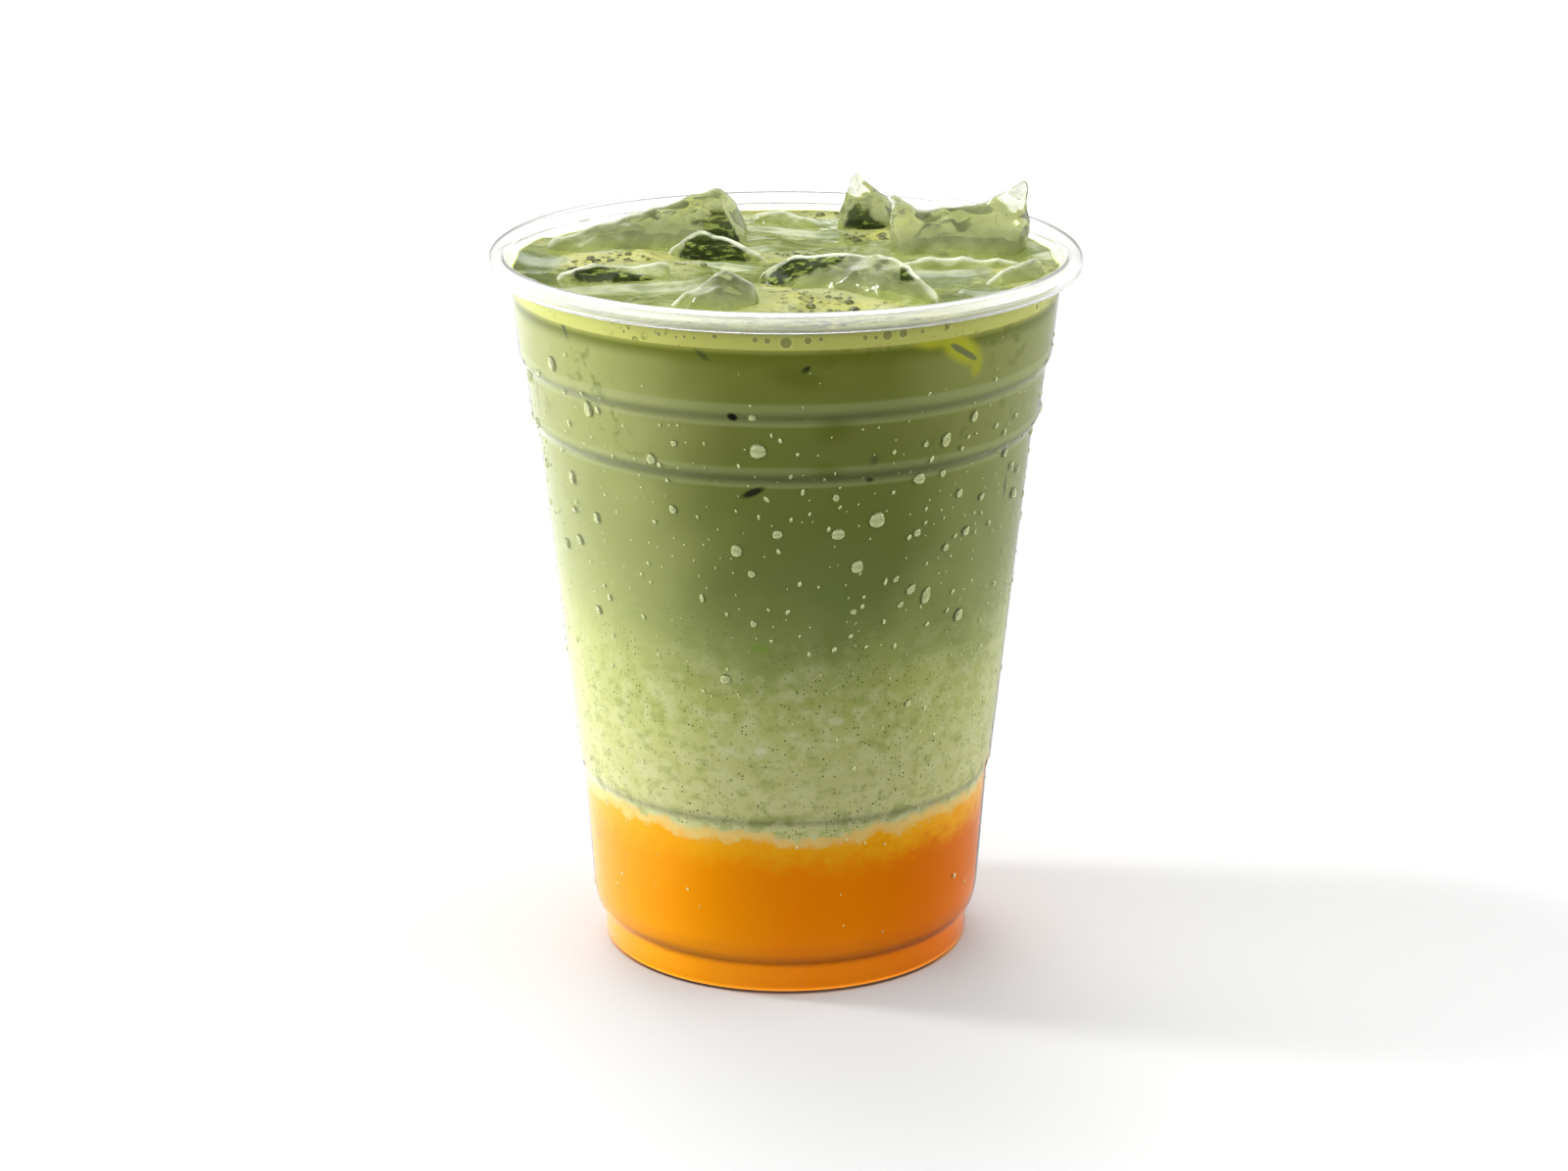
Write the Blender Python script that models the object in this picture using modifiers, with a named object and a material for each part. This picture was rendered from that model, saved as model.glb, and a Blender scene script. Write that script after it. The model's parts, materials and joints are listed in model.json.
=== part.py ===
"""Iced matcha latte in a clear plastic tumbler: mango puree, milk, matcha and froth in layers, with ice on top.

Metres, +Z up. The origin is the middle of the cup's foot, on the surface that it stands on.
The ice, the froth and the layers are each a solid of their own, a thin gap apart.
"""

import math
import random

import bmesh
import bpy
from mathutils import Matrix, Vector, noise

MM = 0.001

# The cup, a thermoformed tumbler of the common 98 mm size.
CUP_HEIGHT = 119.7 * MM
RIM_RADIUS = 48.95 * MM
CURL_RADIUS = 1.7 * MM
WALL = 0.5 * MM
FOOT_RADIUS = 31.15 * MM
FOOT_HEIGHT = 5.3 * MM
FOOT_ROUNDING = 0.9 * MM
REST_RING_WIDTH = 2.4 * MM
BASE_RECESS = 2.0 * MM

# Straight tapering stretches of the outer wall, from the top down: radius and height of each end.
RIM_BAND = ((45.30, 115.2), (43.98, 102.7))
UPPER_BAND = ((43.12, 101.3), (42.12, 92.4))
BODY = ((41.08, 90.9), (34.98, 32.3))
LOWER_BODY = ((34.38, 31.0), (32.95, 9.6))
LOWER_EDGE = ((32.55, 7.4), (32.05, 6.3))

# What fills it: the levels of the layers at the wall, and the gap that keeps solids apart.
GAP = 0.3 * MM
PUREE_LEVEL = 28.2 * MM
MILK_LEVEL = 56.0 * MM
MATCHA_LEVEL = 113.0 * MM
FROTH_LEVEL = 115.2 * MM
FROTH_CLIMB = 1.0 * MM
FROTH_SWELL = 0.35 * MM
SWELL_LENGTH = 9.0 * MM

# Where the froth is piled up over ice: x, y, height and radius of each hump, in millimetres.
FROTH_HUMPS = ((-27.0, 5.5, 1.6, 6.5), (5.0, -22.0, 1.1, 6.0))

STEPS = 48
FROTH_RINGS = 5

# The ice that shows. Each piece is its width, then the points that its crest runs through from left
# to right, as x, y and z in millimetres.
ICE = {
    "ice_back_left": (
        12.0,
        ((-39.6, 12, 118.0), (-32.0, 15.5, 119.8), (-25.0, 18, 121.2), (-16.4, 20.0, 124.0), (-11.4, 20.5, 125.8),
         (-6.8, 22, 120.4)),
    ),
    "ice_middle_left": (
        9.0,
        ((-19.6, 8.2, 117.0), (-14.2, 8.8, 120.6), (-9.0, 7.8, 118.9), (-3.2, 5, 117.0)),
    ),
    "ice_front_left": (
        12.0,
        ((-37.0, -9.5, 116.8), (-30.8, -7, 118.4), (-24.4, -5.5, 117.6), (-18.6, -4, 118.2)),
    ),
    "ice_front_small": (
        13.5,
        ((-18.0, -27, 116.4), (-13.4, -26, 119.6), (-9.4, -25, 121.9), (-4.6, -25, 118.6)),
    ),
    "ice_front_arch": (
        12.5,
        ((-4.2, -8.5, 116.8), (1.0, -9.5, 120.2), (8.5, -11.5, 120.8), (15.4, -15.5, 122.0), (19.8, -20, 120.6),
         (24.4, -25.5, 116.8)),
    ),
    "ice_back_middle": (
        8.5,
        ((-5.4, 36, 117.2), (0.2, 35, 118.2), (6.2, 31.6, 117.2)),
    ),
    "ice_back_tooth": (
        9.5,
        ((9.4, 34.5, 118.6), (12.2, 33.5, 125.8), (18.4, 33.0, 120.0)),
    ),
    "ice_back_right": (
        12.5,
        ((17.4, 14, 126.0), (22.0, 14.5, 122.6), (27.6, 15.5, 123.2), (34.0, 15, 124.2), (40.8, 13.5, 129.0)),
    ),
    "ice_right": (
        7.0,
        ((18.4, 1.2, 117.0), (28.5, 1.0, 117.6), (39.0, 1.6, 117.1)),
    ),
    "ice_front_right": (
        9.5,
        ((32.2, -13.0, 116.8), (36.6, -9.0, 118.2), (41.4, -5.0, 119.0)),
    ),
}

# How the ice's cross-section is drawn from its crest, and how far it reaches down into the drink.
ICE_DEPTH = (10.5 * MM, 14.0 * MM)
ICE_FRONT_REACH = 1.30
ICE_FRONT_SHOULDER = 0.84
ICE_FRONT_HEIGHT = (0.28, 0.50)
ICE_BACK_REACH = 0.72
ICE_BACK_SHOULDER = 0.46
ICE_BACK_HEIGHT = (0.30, 0.62)
ICE_KEEL = 0.72
ICE_END_NARROWING = 0.74
ICE_ROUGHNESS = 0.07
CREST_SHARPNESS = 0.55
PEAK_SHARPNESS = 0.45
ICE_FROM_WALL = 1.2 * MM
ICE_SEED = 11


def clear_scene():
    """Removes whatever the file opened with."""
    for old in list(bpy.data.objects):
        bpy.data.objects.remove(old, do_unlink=True)


def material(name, colour, roughness, alpha=1.0):
    """A Principled material of one colour."""
    made = bpy.data.materials.new(name)
    made.use_nodes = True
    shader = made.node_tree.nodes["Principled BSDF"]
    shader.inputs["Base Color"].default_value = (*colour, 1.0)
    shader.inputs["Roughness"].default_value = roughness
    shader.inputs["Metallic"].default_value = 0.0
    shader.inputs["Alpha"].default_value = alpha
    return made


def in_metres(points):
    """The same radius and height pairs, from millimetres."""
    return [(radius * MM, height * MM) for radius, height in points]


def arc(centre, radius, first, last, count):
    """Points along an arc in the radius-height plane, its ends included. Angles are in degrees."""
    angles = [math.radians(first + (last - first) * i / (count - 1)) for i in range(count)]
    return [(centre[0] + radius * math.cos(a), centre[1] + radius * math.sin(a)) for a in angles]


def wall_outline():
    """The wall's outer side from under the rim down to the foot's rounded edge."""
    stretches = (RIM_BAND, UPPER_BAND, BODY, LOWER_BODY, LOWER_EDGE)
    points = [point for stretch in stretches for point in in_metres(stretch)]
    points.append((FOOT_RADIUS, FOOT_HEIGHT))
    rounding_centre = (FOOT_RADIUS - FOOT_ROUNDING, FOOT_ROUNDING)
    return points + arc(rounding_centre, FOOT_ROUNDING, 0, -90, 3)


def base_outline():
    """From the inner edge of the ring that the cup stands on, up to its raised base and the axis."""
    ring_inside = FOOT_RADIUS - FOOT_ROUNDING - REST_RING_WIDTH
    return [(ring_inside, 0.0), (ring_inside - BASE_RECESS / 2, BASE_RECESS), (0.0, BASE_RECESS)]


def cup_outline():
    """The whole outer side of the sheet: the rolled rim, the wall, the foot ring and the raised base."""
    curl_centre = (RIM_RADIUS - CURL_RADIUS, CUP_HEIGHT - CURL_RADIUS)
    curl = arc(curl_centre, CURL_RADIUS - WALL, -60, 180, 7)
    flare = [(RIM_BAND[0][0] * MM + 0.35 * MM, RIM_BAND[0][1] * MM + 1.2 * MM)]
    return curl + flare + wall_outline() + base_outline()


def inset(points, distance):
    """The outline moved to its inner side by a distance, with its corners mitred."""
    moved = []
    for i, (radius, height) in enumerate(points):
        before = Vector(points[max(i - 1, 0)])
        after = Vector(points[min(i + 1, len(points) - 1)])
        here = Vector((radius, height))
        normals = [
            Vector((edge.y, -edge.x)).normalized()
            for edge in (here - before, after - here)
            if edge.length > 0
        ]
        middle = sum(normals, Vector((0.0, 0.0))).normalized()
        moved.append(tuple(here + middle * distance / middle.dot(normals[0])))
    return moved


def contents_outline():
    """The outer side of what fills the cup, from near its rim down to the axis on the raised base."""
    top = [(RIM_BAND[0][0] * MM + 0.6 * MM, CUP_HEIGHT - 2.0 * MM)]
    return inset(top + wall_outline() + base_outline(), WALL + GAP)


def radius_at(outline, height):
    """The outline's radius at a height, between its points. Above its top it is the top's."""
    if height >= outline[0][1]:
        return outline[0][0]
    for (r_up, z_up), (r_low, z_low) in zip(outline, outline[1:]):
        if z_low <= height <= z_up:
            return r_low + (r_up - r_low) * (height - z_low) / (z_up - z_low)
    return outline[-1][0]


def layer_outline(bottom, top):
    """The contents' outline between two levels, closed to the axis. No bottom means down to the base."""
    outline = contents_outline()
    first = (radius_at(outline, top), top)
    below = [point for point in outline if point[1] < top - GAP]
    if bottom is None:
        return [(0.0, top), first, *below]
    between = [point for point in below if point[1] > bottom + GAP]
    return [(0.0, top), first, *between, (radius_at(outline, bottom), bottom), (0.0, bottom)]


def mesh_object(name, mesh, group, finish):
    """Links a mesh to the scene under a name, with its material."""
    made = bpy.data.objects.new(name, mesh)
    group.objects.link(made)
    mesh.materials.append(finish)
    return made


def turned(name, outline, group, finish):
    """A solid or sheet turned about the Z axis from an outline that runs from its top down."""
    mesh = bpy.data.meshes.new(name)
    line = bmesh.new()
    points = [line.verts.new((radius, 0.0, height)) for radius, height in outline]
    for upper, lower in zip(points, points[1:]):
        line.edges.new((upper, lower))
    line.to_mesh(mesh)
    line.free()
    made = mesh_object(name, mesh, group, finish)
    screw = made.modifiers.new("Turn", "SCREW")
    screw.axis = "Z"
    screw.steps = STEPS
    screw.render_steps = STEPS
    screw.use_merge_vertices = True
    screw.merge_threshold = 0.01 * MM
    screw.use_smooth_shade = False
    return made


def applied(made):
    """Bakes an object's modifiers into its mesh."""
    graph = bpy.context.evaluated_depsgraph_get()
    bpy.context.view_layer.update()
    mesh = bpy.data.meshes.new_from_object(made.evaluated_get(graph))
    made.modifiers.clear()
    made.data = mesh
    return made


def rounded_look(made, angle=35):
    """Shades smooth, with edges sharper than the angle kept."""
    made.data.shade_smooth()
    made.data.set_sharp_from_angle(angle=math.radians(angle))


def make_cup(group):
    """The plastic sheet, turned and given its thickness inwards."""
    finish = material("clear_plastic", (0.93, 0.95, 0.95), 0.06, alpha=0.3)
    cup = turned("cup", cup_outline(), group, finish)
    sheet = cup.modifiers.new("Sheet", "SOLIDIFY")
    sheet.thickness = WALL
    sheet.offset = -1.0
    sheet.use_even_offset = True
    applied(cup)
    rounded_look(cup)
    return cup


def froth_relief(x, y):
    """How far the froth's top stands above its plain level at a place."""
    edge = radius_at(contents_outline(), FROTH_LEVEL)
    share = min(math.hypot(x, y) / edge, 1.0)
    climb = FROTH_CLIMB * share**12
    swell = FROTH_SWELL * noise.noise(Vector((x, y, 0.0)) / SWELL_LENGTH) * (1 - share**6)
    humps = 0.0
    for hump_x, hump_y, height, radius in FROTH_HUMPS:
        away = math.hypot(x - hump_x * MM, y - hump_y * MM) / (radius * MM)
        humps += height * MM * math.exp(-away * away)
    return climb + swell + humps


def make_froth(group):
    """The froth: a shallow disc whose top swells, and climbs a little where it meets the wall."""
    finish = material("matcha_froth", (0.66, 0.70, 0.22), 0.45)
    top, *side = layer_outline(MATCHA_LEVEL + GAP, FROTH_LEVEL)
    edge = side[0][0]
    rings = [(edge * i / FROTH_RINGS, FROTH_LEVEL) for i in range(1, FROTH_RINGS)]
    froth = applied(turned("matcha_froth", [top, *rings, *side], group, finish))
    for vertex in froth.data.vertices:
        if vertex.co.z > FROTH_LEVEL - 0.01 * MM:
            vertex.co.z += froth_relief(vertex.co.x, vertex.co.y)
    return froth


def ice_cage(name, width, crest, draw):
    """The coarse cage of one piece of ice, whose crest runs through the given points."""
    cells = len(crest) - 1
    cage = bmesh.new()
    bmesh.ops.create_cube(cage, size=1.0)
    along = [e for e in cage.edges if abs(e.verts[0].co.x - e.verts[1].co.x) > 0.5]
    bmesh.ops.subdivide_edges(cage, edges=along, cuts=cells - 1, use_grid_fill=True)
    for axis in (1, 2):
        across = [e for e in cage.edges if abs(e.verts[0].co[axis] - e.verts[1].co[axis]) > 0.5]
        bmesh.ops.subdivide_edges(cage, edges=across, cuts=1, use_grid_fill=True)
    crest_edge = cage.edges.layers.float.new("crease_edge")
    crest_point = cage.verts.layers.float.new("crease_vert")
    depth = draw.uniform(*ICE_DEPTH)
    ridge = set()
    for vertex in cage.verts:
        station = round((vertex.co.x + 0.5) * cells)
        side, level = round(vertex.co.y * 2), round(vertex.co.z * 2)
        here = Vector(crest[station])
        run = Vector(crest[min(station + 1, cells)]) - Vector(crest[max(station - 1, 0)])
        across = Vector((-run.y, run.x, 0.0)).normalized()
        jitter = Vector([draw.uniform(-1, 1) for _ in range(3)]) * ICE_ROUGHNESS * width
        rise = here.z * MM - FROTH_LEVEL
        if level == 1 and side == 0:
            offset, height, jitter = 0.0, rise, Vector()
            ridge.add(vertex)
        elif level == 1 and side < 0:
            offset, height = ICE_FRONT_SHOULDER, rise * draw.uniform(*ICE_FRONT_HEIGHT)
        elif level == 1:
            offset, height = ICE_BACK_SHOULDER, rise * draw.uniform(*ICE_BACK_HEIGHT)
        elif level == 0:
            offset, height = ICE_FRONT_REACH if side < 0 else ICE_BACK_REACH, -2.5 * MM
        else:
            offset, height = ICE_KEEL, -depth
        half_width = width / 2 * (ICE_END_NARROWING if station in (0, cells) else 1.0)
        place = Vector((here.x, here.y, 0.0)) + across * side * offset * half_width + jitter
        vertex.co = place * MM + Vector((0.0, 0.0, FROTH_LEVEL + height))
    for edge in cage.edges:
        if edge.verts[0] in ridge and edge.verts[1] in ridge:
            edge[crest_edge] = CREST_SHARPNESS
    for vertex in ridge:
        vertex[crest_point] = PEAK_SHARPNESS
    mesh = bpy.data.meshes.new(name)
    cage.to_mesh(mesh)
    cage.free()
    return mesh


def smoothed(made, grown=0.0):
    """Rounds a cage by subdivision, grows it if asked, and keeps it off the cup's wall."""
    rounding = made.modifiers.new("Round", "SUBSURF")
    rounding.levels = 1
    rounding.render_levels = 1
    if grown:
        grow = made.modifiers.new("Grow", "DISPLACE")
        grow.strength = grown
        grow.mid_level = 0.0
    applied(made)
    outline = contents_outline()
    for vertex in made.data.vertices:
        limit = radius_at(outline, vertex.co.z) - ICE_FROM_WALL + grown
        radius = math.hypot(vertex.co.x, vertex.co.y)
        if radius > limit:
            vertex.co.x *= limit / radius
            vertex.co.y *= limit / radius
    return made


def make_ice(group, cutters):
    """Every piece of ice that shows, and a slightly larger cutter for the hollow that it sits in."""
    finish = material("ice", (0.86, 0.92, 0.84), 0.04, alpha=0.4)
    draw = random.Random(ICE_SEED)
    for name, (width, crest) in ICE.items():
        mesh = ice_cage(name, width, crest, draw)
        cutter = mesh_object("hollow_" + name, mesh.copy(), cutters, finish)
        cutter.hide_render = True
        cutter.display_type = "WIRE"
        smoothed(cutter, grown=GAP * 1.15)
        piece = smoothed(mesh_object(name, mesh, group, finish))
        rounded_look(piece, 50)


def cut_hollows(layer, cutters):
    """Takes the ice's hollows out of a layer."""
    cut = layer.modifiers.new("Hollows", "BOOLEAN")
    cut.operation = "DIFFERENCE"
    cut.operand_type = "COLLECTION"
    cut.collection = cutters
    cut.solver = "EXACT"
    applied(layer)


def make_layers(group, cutters):
    """The drink from the bottom up, cut round the ice where it reaches the ice."""
    puree_finish = material("mango_puree", (0.95, 0.38, 0.02), 0.30)
    milk_finish = material("milk", (0.75, 0.78, 0.48), 0.35)
    matcha_finish = material("matcha", (0.34, 0.40, 0.12), 0.30)
    puree_outline = layer_outline(None, PUREE_LEVEL)
    milk_outline = layer_outline(PUREE_LEVEL + GAP, MILK_LEVEL)
    matcha_outline = layer_outline(MILK_LEVEL + GAP, MATCHA_LEVEL)
    puree = applied(turned("mango_puree", puree_outline, group, puree_finish))
    milk = applied(turned("milk", milk_outline, group, milk_finish))
    matcha = applied(turned("matcha", matcha_outline, group, matcha_finish))
    froth = make_froth(group)
    for layer in (matcha, froth):
        cut_hollows(layer, cutters)
    for layer in (puree, milk, matcha, froth):
        rounded_look(layer)


def main():
    clear_scene()
    group = bpy.data.collections.new("iced_matcha_latte")
    cutters = bpy.data.collections.new("hollows")
    bpy.context.scene.collection.children.link(group)
    bpy.context.scene.collection.children.link(cutters)
    make_cup(group)
    make_ice(group, cutters)
    make_layers(group, cutters)
    bpy.context.view_layer.update()


main()
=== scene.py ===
# %% [markdown]
# # An iced matcha latte in a clear plastic tumbler
#
# The drink is built the way a glass of it is filled: the clear tumbler first, then mango puree, milk and matcha, then
# the froth, and last the ice. Every length below is written in millimetres and turned into metres by `MM`.
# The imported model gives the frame: each piece here takes the place of the solid of the same form.

import json
import math
import random

import bmesh
import bpy
from mathutils import Matrix, Vector, noise

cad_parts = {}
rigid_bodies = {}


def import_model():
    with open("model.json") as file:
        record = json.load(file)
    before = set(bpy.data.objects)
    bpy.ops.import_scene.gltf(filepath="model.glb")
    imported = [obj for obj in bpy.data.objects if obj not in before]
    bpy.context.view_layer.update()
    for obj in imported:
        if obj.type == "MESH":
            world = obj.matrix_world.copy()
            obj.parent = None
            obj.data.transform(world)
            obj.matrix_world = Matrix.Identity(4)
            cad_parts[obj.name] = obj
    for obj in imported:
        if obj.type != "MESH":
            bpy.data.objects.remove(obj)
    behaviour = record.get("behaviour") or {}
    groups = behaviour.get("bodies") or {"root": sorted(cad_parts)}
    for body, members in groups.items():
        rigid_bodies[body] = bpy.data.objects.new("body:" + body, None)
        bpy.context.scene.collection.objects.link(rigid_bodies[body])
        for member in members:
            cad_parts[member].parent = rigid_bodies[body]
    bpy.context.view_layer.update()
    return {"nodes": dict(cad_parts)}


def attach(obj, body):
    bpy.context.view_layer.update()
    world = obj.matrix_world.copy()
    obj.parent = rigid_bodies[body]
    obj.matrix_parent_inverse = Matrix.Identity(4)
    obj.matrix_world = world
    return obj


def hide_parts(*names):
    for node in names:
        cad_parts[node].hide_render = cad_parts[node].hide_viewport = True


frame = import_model()
MM = 0.001
print("nodes:", ", ".join(sorted(frame["nodes"])))

# %% [markdown]
# ## Maths on material sockets
#
# A pattern such as a ragged edge between two layers is a sum: height plus some noise, compared with a level.
# `Value` wraps a socket, so that such sums can be written as Python expressions, and each one becomes a Math node.
# `Finish` holds a material's node tree and makes every other kind of node with one method.


# %% Sockets that can be added and multiplied
class Value:
    """A socket of a node tree. Python's operators on it add Math nodes."""

    def __init__(self, finish, socket):
        self.finish, self.socket = finish, socket

    def also(self, output):
        """Another output of the same node."""
        return Value(self.finish, self.socket.node.outputs[output])

    def __add__(self, other):
        return self.finish.maths("ADD", self, other)

    def __sub__(self, other):
        return self.finish.maths("SUBTRACT", self, other)

    def __mul__(self, other):
        return self.finish.maths("MULTIPLY", self, other)

    def __pow__(self, other):
        return self.finish.maths("POWER", self, other)

    def at_least(self, other):
        return self.finish.maths("MAXIMUM", self, other)

    __radd__ = __add__
    __rmul__ = __mul__


# %% Node trees
class Finish:
    """A node tree, of a new material or of the world, and one way to add nodes to it."""

    def __init__(self, name, owner=None):
        self.owner = owner or bpy.data.materials.new(name)
        self.owner.use_nodes = True
        self.tree = self.owner.node_tree
        self.tree.nodes.clear()

    def node(self, kind, settings=None, inputs=None, output=0):
        """A node with its settings, then its inputs: values, or links from other sockets."""
        made = self.tree.nodes.new(kind)
        for name, setting in (settings or {}).items():
            if name == "stops":
                ramp = made.color_ramp
                while len(ramp.elements) < len(setting):
                    ramp.elements.new(1.0)
                for element, (position, colour) in zip(ramp.elements, setting):
                    element.position, element.color = position, (*colour, 1.0)
            else:
                setattr(made, name, setting)
        for name, value in (inputs or {}).items():
            if isinstance(value, Value):
                self.tree.links.new(value.socket, made.inputs[name])
            else:
                made.inputs[name].default_value = value
        return Value(self, made.outputs[output]) if made.outputs else made

    def maths(self, operation, *values):
        return self.node("ShaderNodeMath", {"operation": operation}, dict(enumerate(values)))

    def position(self):
        """Where on the object a point is, in metres."""
        return self.node("ShaderNodeTexCoord", output="Object")

    def along(self, axis):
        """How far along an axis, numbered from 0, a point is, in millimetres."""
        return self.node("ShaderNodeSeparateXYZ", inputs={0: self.position()}, output=axis) * (1 / MM)

    def from_axis(self):
        """How far a point is from the cup's axis, in millimetres."""
        return self.length(self.stretched(self.position(), (1.0, 1.0, 0.0))) * (1 / MM)

    def length(self, vector):
        return self.node("ShaderNodeVectorMath", {"operation": "LENGTH"}, {0: vector}, output="Value")

    def dot(self, vector, other):
        inputs = {0: vector, 1: other}
        return self.node("ShaderNodeVectorMath", {"operation": "DOT_PRODUCT"}, inputs, output="Value")

    def stretched(self, vector, scale, move=(0.0, 0.0, 0.0)):
        inputs = {"Vector": vector, "Scale": scale, "Location": move}
        return self.node("ShaderNodeMapping", inputs=inputs)

    def grain(self, vector, size, detail=3.0, roughness=0.55, distortion=0.0):
        """Noise from 0 to 1 with features of about the given size in millimetres."""
        inputs = {
            "Vector": vector,
            "Scale": 1 / (size * MM),
            "Detail": detail,
            "Roughness": roughness,
            "Distortion": distortion,
        }
        return self.node("ShaderNodeTexNoise", inputs=inputs)

    def cells(self, vector, size, feature="F1"):
        """Voronoi cells of a size in millimetres: the distance to each one's centre, in cells."""
        inputs = {"Vector": vector, "Scale": 1 / (size * MM)}
        return self.node("ShaderNodeTexVoronoi", {"feature": feature}, inputs, output="Distance")

    def rise(self, value, low, high):
        """0 below low, 1 above high, and a smooth slope between. With low above high it falls."""
        inputs = {"Value": value, "From Min": low, "From Max": high}
        return self.node("ShaderNodeMapRange", {"interpolation_type": "SMOOTHSTEP"}, inputs)

    def blend(self, share, colour, other):
        """One colour, giving way to another as the share goes from 0 to 1."""
        inputs = {"Factor": share, 6: opaque(colour), 7: opaque(other)}
        return self.node("ShaderNodeMix", {"data_type": "RGBA"}, inputs, output=2)

    def ends_in(self, shader, socket="Surface"):
        kind = "ShaderNodeOutputWorld" if isinstance(self.owner, bpy.types.World) else "ShaderNodeOutputMaterial"
        self.node(kind, inputs={socket: shader})
        return self.owner


def opaque(colour):
    return colour if isinstance(colour, Value) else (*colour, 1.0)


# %% [markdown]
# ## Camera
#
# The picture looks slightly down on the cup, from a good half metre away with a longish lens. The lens, the height and
# the distance were fitted to the rim and the foot, so that both ellipses come out as they are in the photograph.

# %% Camera
TILT = 17.47
camera = bpy.data.objects.new("camera", bpy.data.cameras.new("camera"))
camera.data.lens = 89.24
camera.data.sensor_width = 36.0
camera.data.clip_start = 0.05
camera.data.clip_end = 30.0
camera.location = (-0.21 * MM, -624.29 * MM, 257.80 * MM)
camera.rotation_euler = (math.radians(90 - TILT), 0, 0)
bpy.context.scene.collection.objects.link(camera)
bpy.context.scene.camera = camera
bpy.context.scene.view_settings.view_transform = "Standard"
print("camera at", tuple(round(c, 3) for c in camera.location))

# %% [markdown]
# ## Light
#
# The cup stands on white in a bright white studio. Wide soft panels stand low to the left and right, and a higher one
# behind the cup throws its shadow forward. Only a faint one shines from the camera's side, which leaves the middle of
# the drink darkest. The last is a small hard lamp, for the glints on ice and dew. A sky that changes smoothly with
# direction gives the same light as such panels do, without the hard edges that real ones would show in shiny plastic.

# %% Room light
PANELS = [
    # degrees from the camera's side, to the left below zero; degrees up; strength; sharpness
    (-62, 14, 5.6, 5.0),
    (-165, 52, 12.0, 16.0),
    (100, 14, 6.0, 5.0),
    (20, 30, 1.8, 2.5),
    (-100, 46, 170.0, 450.0),
]


def towards(round_from_camera, up):
    """A direction from the cup to a light."""
    around, up = math.radians(round_from_camera), math.radians(up)
    return Vector((math.cos(up) * math.sin(around), -math.cos(up) * math.cos(around), math.sin(up)))


world = bpy.data.worlds.new("white_room")
bpy.context.scene.world = world
sky = Finish("white_room", world)
direction = sky.node("ShaderNodeTexCoord", output="Generated")
brightness = 0.02
for around, up, strength, sharpness in PANELS:
    facing = sky.dot(direction, towards(around, up))
    brightness = brightness + strength * facing.at_least(0.0) ** sharpness
room = sky.node("ShaderNodeBackground", inputs={"Color": (1.0, 1.0, 1.0, 1.0), "Strength": brightness})
sky.ends_in(room)
bpy.context.scene.cycles.caustics_reflective = False
bpy.context.scene.cycles.caustics_refractive = False
print(len(PANELS), "soft panels")

# %% [markdown]
# ## Floor
#
# A plain white table that runs out of the picture on all sides, so no horizon shows. The tumbler's wall leans out, so
# it mirrors the table in front of it, and a white table would lay a grey veil over the drink. A photographer turns a
# polarising filter against that. Here the table is only white to the camera, and darker to every other ray, mostly
# in front of the cup.

# %% Floor
floor_mesh = bpy.data.meshes.new("floor")
sheet = bmesh.new()
bmesh.ops.create_circle(sheet, cap_ends=True, radius=6.0, segments=96)
sheet.to_mesh(floor_mesh)
sheet.free()
floor = bpy.data.objects.new("floor", floor_mesh)
bpy.context.scene.collection.objects.link(floor)
table = Finish("white_table")
outward = table.node("ShaderNodeVectorMath", {"operation": "NORMALIZE"}, {0: table.position()})
near_foot = table.length(table.position())
mirrored = 0.04 + 0.36 * table.rise(near_foot, 58 * MM, 34 * MM)
for around, share in ((-125, 1.0), (135, 0.40)):
    facing = table.dot(outward, towards(around, 0))
    mirrored = mirrored + share * facing.at_least(0.0) ** 1.5
dimmed = table.blend(mirrored, (0.0, 0.0, 0.0), (0.60, 0.60, 0.60))
seen = table.node("ShaderNodeBsdfDiffuse", inputs={"Color": (0.38, 0.38, 0.38, 1.0)})
unseen = table.node("ShaderNodeBsdfDiffuse", inputs={"Color": dimmed})
to_camera = table.node("ShaderNodeLightPath", output="Is Camera Ray")
floor_mesh.materials.append(table.ends_in(table.node("ShaderNodeMixShader", inputs={0: to_camera, 1: unseen, 2: seen})))
print("floor laid")

# %% [markdown]
# ## The tumbler
#
# A clear cold-drink cup is one thin sheet of plastic. Its side is turned, so one half outline is enough: the rolled
# rim, two steps for stiffness, the long taper, a low step, and the foot. The corners of a formed sheet are soft, so
# the outline's corners are bevelled before it is spun. Solidify then gives the sheet its thickness, inwards.

# %% Outline of the tumbler
WALL = 0.5
CURL_CENTRE, CURL_INSIDE = (47.25, 118.0), 1.2
SIDE = [
    (45.65, 116.4), (45.30, 115.2), (43.98, 102.7), (43.12, 101.3), (42.12, 92.4), (41.08, 90.9),
    (34.98, 32.3), (34.38, 31.0), (32.95, 9.6), (32.55, 7.4), (32.05, 6.3), (31.15, 5.3),
]
FOOT = [(31.15, 0.9), (30.88, 0.26), (30.25, 0.0)]
BASE = [(27.85, 0.0), (26.85, 2.0), (0.0, 2.0)]


def curl():
    """The rim's roll, from its free end under the lip over the top to the wall."""
    x, z = CURL_CENTRE
    turns = [math.radians(-60 + 10 * i) for i in range(25)]
    return [(x + CURL_INSIDE * math.cos(a), z + CURL_INSIDE * math.sin(a)) for a in turns]


def wall_radius(height):
    """The outer wall's radius at a height, in millimetres."""
    outline = SIDE + FOOT
    for (upper, top), (lower, bottom) in zip(outline, outline[1:]):
        if bottom <= height <= top:
            return lower + (upper - lower) * (height - bottom) / (top - bottom)
    return SIDE[0][0] if height > SIDE[0][1] else FOOT[-1][0]


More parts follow.
